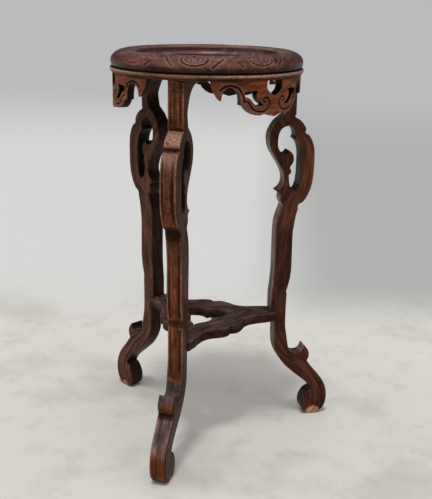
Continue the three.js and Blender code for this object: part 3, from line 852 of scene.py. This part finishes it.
# Painted shade: the walls of the board and of its holes are near black.
apron_wall_shade = paint(30, 18, 15)
apron_back_stain = paint(62, 34, 26)
apron_line = (
    (35.4, 744), (33.7, 749), (31.5, 752), (29.3, 753), (26.9, 751), (24.6, 748), (23.4, 742), (22.1, 735),
    (21.4, 728), (21.2, 724), (19.6, 724), (18.3, 721), (17.3, 717), (15.6, 710), (13, 706), (10.9, 705),
    (8.1, 705), (6, 708), (4.6, 713), (3.9, 720), (4.4, 725), (5.5, 729), (7.2, 729.5), (8.6, 727),
    (8.4, 723), (7, 721.5))
apron_wood = aged_wood("apron_wood", dirt_and_shade=paint(66, 33, 22), worn_and_lit=paint(176, 124, 96), roughness=0.42,
                       streaks=0.5, patches=0.7, mottling=0.7, blotches=0.45, red=0.5, bump=0.3)


def around(radius, angle, z):
    """Places round the stand's axis, with the angle from the front leg."""
    return np.column_stack([radius * np.sin(angle), axis_y - radius * np.cos(angle), z])


def build_aprons():
    bend = math.radians(leg_pitch / 2)
    half = apron_thickness / 2
    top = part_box("apron_1")[1][2]

    def to_board(co):
        angle = math.atan2(co[0], -(co[1] - axis_y)) - bend
        return angle * apron_r, co[2], math.hypot(co[0], co[1] - axis_y) - apron_r

    def spots_on(side, rings):
        grid = apron_grid if side > 0 else apron_back_grid
        return spots_between(rings, rings[0].min(axis=0), rings[0].max(axis=0), grid)

    outlines = board_outlines(nodes["apron_1"], to_board, 0)
    outlines = [smooth_outline(ring, apron_step, apron_corner) for ring in outlines]
    walls = [[share * half for share in (0.78, 0.4, -0.4)]] * len(outlines)
    points, faces, _, round_edge = sawn_board(outlines, half, [apron_edge] * len(outlines), walls, None,
                                              spots_on, apron_rim_width, (0.4, 1, 0, 0.5, 0))
    drawn = through([(math.radians(a) * apron_r, z * MM) for a, z in apron_line], line_step)
    distance = np.min([line_distance(points[:, :2], drawn * (sign, 1)) for sign in (1, -1)], axis=0)
    rim_distance = np.min([line_distance(points[:, :2], closed(ring)) for ring in outlines], axis=0)
    nearest = np.minimum(distance, rim_distance)
    front = points[:, 2] > half - 0.01 * MM
    line_cut = apron_line_depth * np.maximum(0, 1 - (distance / apron_line_half) ** 2)
    roll = apron_roll * np.clip(1 - nearest / apron_roll_width, 0, 1) ** 2 * fade(12 * MM, 8 * MM, distance)
    held = fade(0, 1.2 * MM, rim_distance)
    points[front, 2] -= ((line_cut + roll) * held)[front]
    groove = 0.96 * np.clip(line_cut / (1.1 * MM), 0, 1) * front
    # painted shade along the top, under the collar
    groove = np.maximum(groove, 0.3 * fade(top - 5 * MM, top, points[:, 1]))
    facing = fade(0.76, 0.93, points[:, 2] / half)
    band = fade(11 * MM, 8 * MM, distance) * fade(12 * MM, 9 * MM, rim_distance)
    # near black, as painted shade, where the wood does not face forward
    tone = laid_over(apron_wall_shade, apron_stain, facing)
    tone = laid_over(tone, apron_band_stain, band * facing)
    tone = laid_over(tone, apron_back_stain, fade(0, -0.9, points[:, 2] / half))
    # wear with a painted highlight on the crowns of the rolled bands
    crown_wear_and_highlight = within((1.2 * MM, 2.6 * MM, 3.4 * MM, 5 * MM), nearest) * band
    wear = np.clip(0.2 * round_edge * facing + 0.35 * crown_wear_and_highlight * front, 0, 1)
    along, z, depth = points.T
    for index in range(3):
        angle = along / apron_r + math.radians((index + 0.5) * leg_pitch)
        apron = make_piece(f"scrolled_apron_{index + 1}", around(apron_r - half + depth, angle, z), faces,
                           apron_wood, tone=tone, groove=groove, wear=wear,
                           board=points + apron_board_shift * (index + 1))
        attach(apron, "root")
        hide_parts(f"apron_{index + 1}")
        for letter in "ab":
            leave_bare(f"apron_pin_{index + 1}{letter}")


build_aprons()


# The top ring: three fat arcs joined end to end by loose tongues. Its foot is turned in over the
# bead, and a hollow runs from its inner edge down to the panel. Nine flower heads are carved round
# its shoulder, with slanted strokes between them, and the high parts are rubbed light. Its colour
# also holds painted light and shade by angle round the stand, painted shade low on the ring, at its
# foot, its inner lip and the hollow's corner, a painted highlight low on its nose and a painted sheen
# on the inner slope of its crest.
ring_outer = 188 * MM
ring_hairline = 0.035 * MM
ring_profile = ((184.5, 771.6), (187.1, 776.6), (188, 781.6), (187.4, 787), (184.9, 792), (180, 796.6),
                (172, 800.8), (163, 803), (154, 802.5), (146, 800.9), (138.1, 798.6))
ring_lip = ((136.6, 798.1), (136.05, 797.3), (136, 794.5))
ring_steps = 560
ring_step = 0.9 * MM
ring_cove = 8 * MM
ring_arris = 0.3 * MM
ring_board_shift = np.array([0.37, 1.1, 0.21])
ring_cove_foot = 1 * MM
panel_tongue = 7 * MM
panel_tongue_thickness = 4 * MM
joint_fit = 0.3 * MM
ring_motifs = 9
ring_first_motif = 10
motif_r = 178 * MM
ring_line_half = 2.0 * MM
ring_line_depth = 1.9 * MM
ring_dish_depth = 1.3 * MM
bowl_foot = 16.4
bowl_bend = 0.13
motif_depths = (1.0, 0.8, 0.7, 0.9, 0.75, 0.85, 0.8, 0.6, 0.6)
ring_stain = paint(104, 62, 52)
ring_top_stain = paint(107, 76, 71)
# Painted shade: the low part of the ring, where it turns in under the crest.
ring_low_shade = paint(60, 35, 29)
# Painted light and shade by angle round the stand: darker about a quarter turn to each side of the front,
# lighter at the back.
ring_painted_light = ((-180, 1.2), (-140, 0.9), (-100, 0.55), (-65, 0.45), (-30, 0.95), (55, 1), (85, 0.6),
               (115, 0.75), (150, 1.05), (180, 1.2))
ring_cove_stain = paint(118, 76, 70)
ring_wood = aged_wood("ring_wood", dirt_and_shade=paint(28, 13, 11), worn_and_lit=paint(178, 132, 116), roughness=0.36,
                      streaks=0.5, patches=0.8, mottling=0.7, blotches=0.5, red=0.35, bump=0.3, polish=0.04)


def both_sides(line):
    return [line, [(-turn, rise) for turn, rise in line]]


def motif_lines():
    """The carved lines of one flower head, as degrees from its middle and mm up the ring's section."""
    bowl = [(7.5, 29), (7.2, 25), (5.8, 20.6), (3.2, 17.5), (0, bowl_foot), (-3.2, 17.5), (-5.8, 20.6),
            (-7.2, 25), (-7.5, 29)]
    cup = [(4.6, 26.5), (3.9, 23.8), (2.2, 21.9), (0, 21.3), (-2.2, 21.9), (-3.9, 23.8), (-4.6, 26.5)]
    tip = [(7.5, 29), (7.8, 33), (7, 37)]
    right_stroke = [(10.2, 13), (13, 21), (15.4, 27.5), (16.8, 33)]
    left_stroke = [(-12.6, 15), (-14.8, 22), (-16.6, 30), (-17.6, 37)]
    leaf = [(12.4, 34), (11, 39), (8.2, 43)]
    vein = [(1.7, 26.5), (2.2, 32), (3.6, 38)]
    hook = [(4.6, 26.5), (5.2, 30), (4.4, 34), (5.6, 39)]
    fans = [[(5.5 - 0.3 * i, 51 + 5 * i), (0, 49.4 + 5 * i), (0.3 * i - 5.5, 51 + 5 * i)] for i in range(4)]
    shares = {1.0: [bowl, right_stroke],
              0.7: [left_stroke, cup, *both_sides(tip), *both_sides(leaf), *fans],
              0.45: [*both_sides(vein), *both_sides(hook)]}
    return [(line, share) for share, lines in shares.items() for line in lines]


def ring_cut(angle, rise):
    """Depth of the carving, how near its lines are, and how rubbed the wood between them is, with a painted
    highlight low on the nose and a painted sheen on the crest's inner slope.
    """
    pitch = 2 * math.pi / ring_motifs
    from_first = angle - math.radians(ring_first_motif)
    count = np.floor(from_first / pitch + 0.5)
    local = from_first - count * pitch
    depths = np.array(motif_depths)[count.astype(int) % ring_motifs]
    turn, up = np.degrees(local), rise / MM
    flat = np.column_stack([local * motif_r, rise])
    cut, dark, near = np.zeros(len(angle)), np.zeros(len(angle)), np.full(len(angle), np.inf)
    for line, share in motif_lines():
        drawn = through([(math.radians(a) * motif_r, r * MM) for a, r in line], line_step)
        distance = line_distance(flat, drawn)
        half = ring_line_half * (0.55 + 0.45 * share)
        cut = np.maximum(cut, share * ring_line_depth * np.maximum(0, 1 - (distance / half) ** 2))
        dark = np.maximum(dark, share * fade(half * 1.1, half * 0.3, distance))
        near = np.minimum(near, distance)
    above_bowl = up - bowl_foot - bowl_bend * turn**2
    dish = fade(0.5, 7, above_bowl) * fade(31, 26, up) * fade(6.5, 4.5, np.abs(turn))
    cut = np.maximum(cut, ring_dish_depth * dish)
    crescent = fade(1.9, 0.7, np.abs(above_bowl - 2.6)) * fade(6.2, 4.6, np.abs(turn))
    # the raised crescent is worn light; the band low on the nose is wear with a painted highlight
    rubbed_and_lit = np.maximum(0.85 * crescent, 0.3 * within((10, 14, 18, 24), up))
    rubbed_and_lit += 0.35 * within((1.2, 2.4, 3, 7), near / MM)
    rubbed_and_lit += 0.5 * within((48, 52, 64, 68), up) * fade(6.5, 5, np.abs(turn))
    # a painted sheen on the inner slope of the crest
    rubbed_and_lit += 0.45 * fade(54, 60, up)
    return cut * depths, 0.85 * dark * depths, rubbed_and_lit * depths * (1 - dark)


def ring_section():
    """The ring's section as radius and height, how many of its points are carved, and their rises."""
    low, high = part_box("top_panel")
    panel_edge = (high[0] - low[0]) / 2
    foot_r, groove_r = panel_edge - panel_tongue, panel_edge + joint_fit
    groove_top, groove_foot = low[2] + panel_tongue_thickness + joint_fit, low[2] - joint_fit
    outer = through([(r * MM, z * MM) for r, z in ring_profile], ring_step)
    along = lengths_along(outer)
    lip = [(r * MM, z * MM) for r, z in ring_lip]
    cove_top, cove_low = lip[-1][1], high[2] + ring_cove_foot
    cove = [(foot_r + ring_cove * math.cos(a), cove_top - (cove_top - cove_low) * math.sin(a))
            for a in np.radians(np.arange(7.5, 90, 7.5))]
    inner = [*lip, *cove, (foot_r + ring_arris, cove_low), (foot_r, cove_low - ring_arris),
             (foot_r, groove_top), (groove_r, groove_top), (groove_r, groove_foot), (foot_r, groove_foot),
             (foot_r, outer[0][1])]
    rises = np.concatenate([along, np.full(len(inner), along[-1])])
    return np.vstack([outer, inner]), len(outer), rises, foot_r


def build_ring():
    section, carved, rises, foot_r = ring_section()
    slope = unit(np.gradient(section[:carved], axis=0))
    outward = np.zeros((len(section), 2))
    outward[:carved] = np.column_stack([slope[:, 1], -slope[:, 0]])
    count, rows = len(section), ring_steps + 1
    walls = [quads(row * count, count) for row in range(1, rows)]
    cap = fill_face([section])
    rise = np.tile(rises, rows)
    outside = np.tile(np.arange(count), rows) < carved
    half_turn = math.radians(leg_pitch / 2) - ring_hairline / ring_outer
    for index in range(3):
        middle = math.radians(90 + index * leg_pitch)
        angle = np.repeat(np.linspace(middle - half_turn, middle + half_turn, rows), count)
        cut, dark, rubbed_and_lit = ring_cut(angle, rise)
        push = np.tile(outward, (rows, 1)) * (cut * outside)[:, None]
        radius, z = (np.tile(section, (rows, 1)) - push).T
        # painted light and shade by angle round the stand, also laid on the rubbed and lit colour
        shade = looked_up(ring_painted_light, np.degrees(angle + math.pi) % 360 - 180)
        # painted shade low on the ring
        tone = laid_over(ring_low_shade, ring_stain, fade(5 * MM, 16 * MM, rise))
        tone = laid_over(tone, ring_top_stain, fade(24 * MM, 34 * MM, rise))
        tone = np.where(outside[:, None], tone * shade[:, None], ring_cove_stain)
        # Painted shade along the inner lip, in the hollow's corner and at the ring's foot over the bead.
        edge = fade(70 * MM, 72 * MM, rise) * fade(795.5 * MM, 796.5 * MM, z)
        corner = fade(foot_r + 2.4 * MM, foot_r + 0.8 * MM, radius) * ~outside
        groove = np.maximum(np.where(outside, dark, 0), 0.95 * fade(5.5 * MM, 2.5 * MM, rise))
        groove = np.maximum(groove, 0.9 * np.maximum(edge, corner))
        wear = np.clip(rubbed_and_lit * np.minimum(shade, 1) ** 2, 0, 1)
        turn = angle - middle
        board = np.column_stack([radius * np.sin(turn), radius * np.cos(turn), z])
        ring = make_piece(f"carved_ring_{index + 1}", around(radius, angle, z),
                          [*walls, cap, cap + ring_steps * count], ring_wood, sharp=50, tone=tone,
                          board=board + ring_board_shift * (index + 1), groove=np.clip(groove, 0, 1),
                          wear=np.where(outside, wear, 0), shine=np.where(outside, 0.2, 1.0))
        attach(ring, "root")
        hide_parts(f"ring_segment_{index + 1}")
        leave_bare(f"ring_tongue_{index + 1}")


build_ring()


# The panel: one thin round board, raised in its middle, that lies loose in the ring's groove with
# a batten under it. Its old polish still shines.
panel_sides = 240
panel_arris = 0.3 * MM
panel_board_shift = (0.4, 0.9, 0)
panel_stain = paint(58, 34, 29)
panel_wood = aged_wood("panel_wood", dirt_and_shade=paint(16, 9, 8), worn_and_lit=paint(120, 86, 74), roughness=0.34,
                       streaks=0.5, patches=0.6, mottling=0.5, bump=0.12, polish=0.2)


def build_panel():
    low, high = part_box("top_panel")
    top, bottom = high[2], low[2]
    edge_r = (high[0] - low[0]) / 2
    face_r = edge_r - panel_tongue - 2 * joint_fit
    shoulder = bottom + panel_tongue_thickness
    section = [(r * face_r, top) for r in (0.2, 0.4, 0.6, 0.72, 0.8, 0.86, 0.91, 0.95, 0.985)]
    section += [(face_r - 0.7 * MM, top), (face_r - 0.2 * MM, top - 0.2 * MM), (face_r, top - 0.7 * MM),
                (face_r, shoulder), (edge_r - panel_arris, shoulder), (edge_r, shoulder - panel_arris),
                (edge_r, bottom + panel_arris), (edge_r - panel_arris, bottom)]
    section += [(r * edge_r, bottom) for r in (0.7, 0.4, 0.2)]
    angle = np.arange(panel_sides) * 2 * math.pi / panel_sides
    points = [around(r, angle, np.full(panel_sides, z)) for r, z in section]
    points.append([[0, axis_y, top], [0, axis_y, bottom]])
    faces = [quads(row * panel_sides, panel_sides) for row in range(1, len(section))]
    here, beside = np.arange(panel_sides), (np.arange(panel_sides) + 1) % panel_sides
    centre = len(section) * panel_sides
    last = centre - panel_sides
    faces.append(np.column_stack([here, beside, np.full(panel_sides, centre)]))
    faces.append(np.column_stack([last + beside, last + here, np.full(panel_sides, centre + 1)]))
    points = np.vstack(points)
    # Painted shade: the panel darkens towards its rim, under the ring's lip.
    radius = np.hypot(points[:, 0], points[:, 1] - axis_y)
    upper = points[:, 2] > shoulder + 0.5 * MM
    panel = make_piece("round_panel", points, faces, panel_wood, board=points + panel_board_shift,
                       tone=np.tile(panel_stain, (len(points), 1)),
                       groove=0.9 * fade(face_r - 60 * MM, face_r - 2 * MM, radius) * upper)
    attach(panel, "root")
    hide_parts("top_panel")
    leave_bare("panel_batten")


build_panel()


# The room: a pale painted floor that runs far back and turns a little greyer there, with painted
# shade on it to the right behind the stand, under one soft light high up in front, a broad glow from
# above, and a weak light from the left.
floor_near = paint(217, 213, 206)
floor_mid = paint(212, 212, 209)
# Painted shade on the floor to the right, behind the stand.
floor_right_shade = paint(174, 174, 172)
floor_far = paint(185, 185, 187)
floor_stain = paint(158, 152, 144)
floor_marks = ((3.2, 8, 0.48, 0.66, 0.3), (14, 6, 0.5, 0.7, 0.2), (60, 3, 0.68, 0.76, 0.5))
floor_turn = 17
floor_size = 600
floor_z = -0.5 * MM
floor_lean = 0.08
room_glow = (0.93, 0.96, 1.0)
room_glow_strength = 0.15
room_lamps = (("key", (0.0, -0.27, 0.96), 1.1, 9), ("above", (0.1, -0.15, 1.0), 1.55, 90),
              ("left", (-0.9, -0.45, 0.5), 0.4, 40))


def build_room():
    bpy.ops.mesh.primitive_plane_add(size=floor_size, location=(0, 0, floor_z))
    floor = bpy.context.object
    floor.name = "floor"
    material, tree, shader = new_material("pale_floor")
    place = add_node(tree, "ShaderNodeTexCoord", (), "Object")
    turned = add_node(tree, "ShaderNodeMapping", {
        "Vector": place, "Rotation": (0, 0, math.radians(-floor_turn))})
    x, y = add_node(tree, "ShaderNodeSeparateXYZ", {"Vector": turned}).node.outputs[:2]
    behind = ranged(tree, y, 0.55, 1.0)
    beyond = maths(tree, "SUBTRACT", x, maths(tree, "MULTIPLY", y, floor_lean))
    # painted shade to the right, behind the stand
    right = maths(tree, "MULTIPLY", behind, ranged(tree, beyond, 0.0, 0.4))
    colour = mixed(tree, "MIX", behind, floor_near, floor_mid)
    colour = mixed(tree, "MIX", right, colour, floor_right_shade)
    colour = mixed(tree, "MIX", ranged(tree, y, 3.0, 6.5), colour, floor_far)
    near = ranged(tree, y, 1.1, 0.6)
    for scale, detail, low, high, share in floor_marks:
        mark = ranged(tree, noise(tree, place, scale, detail, 0.62), low, high, 0.0, share)
        colour = mixed(tree, "MIX", maths(tree, "MULTIPLY", near, mark), colour, floor_stain)
    set_inputs(shader, {"Base Color": colour, "Roughness": 0.9, "Specular IOR Level": 0.1})
    floor.data.materials.append(material)
    for name, source, strength, width in room_lamps:
        light = bpy.data.lights.new(name, "SUN")
        light.energy = strength
        light.angle = math.radians(width)
        lamp = bpy.data.objects.new(name, light)
        lamp.rotation_euler = Vector(source).to_track_quat("Z", "Y").to_euler()
        bpy.context.collection.objects.link(lamp)
    world = bpy.data.worlds.new("room")
    world.use_nodes = True
    background = world.node_tree.nodes["Background"]
    background.inputs["Color"].default_value = (*room_glow, 1)
    background.inputs["Strength"].default_value = room_glow_strength
    bpy.context.scene.world = world
    bpy.context.scene.view_settings.view_transform = "Standard"


build_room()


# The camera: a little to the right of the front leg, just above the ring, looking slightly down.
camera_distance = 1.733
camera_height = 0.921
camera_azimuth = 16.97
camera_pitch = 16.91
camera_yaw = 0.17
camera_roll = 0.91
camera_lens = 62.6
camera_sensor = 36
camera_shift = (0.0192, 0.001)


def build_camera():
    to_camera = (Matrix.Rotation(math.radians(camera_roll), 3, "Y")
                 @ Matrix.Rotation(math.radians(camera_pitch), 3, "X")
                 @ Matrix.Rotation(math.radians(camera_yaw), 3, "Z"))
    turn = Matrix.Rotation(math.radians(camera_azimuth), 3, "Z")
    right, forward, up = (turn @ to_camera[row] for row in range(3))
    spot = turn @ Vector((0, -camera_distance, camera_height)) + Vector((0, axis_y, 0))
    data = bpy.data.cameras.new("photo_camera")
    data.lens = camera_lens
    data.sensor_width = camera_sensor
    data.shift_x, data.shift_y = camera_shift
    camera = bpy.data.objects.new("photo_camera", data)
    columns = Matrix((right, up, -forward)).transposed()
    camera.matrix_world = Matrix.Translation(spot) @ columns.to_4x4()
    bpy.context.collection.objects.link(camera)
    bpy.context.scene.camera = camera


build_camera()
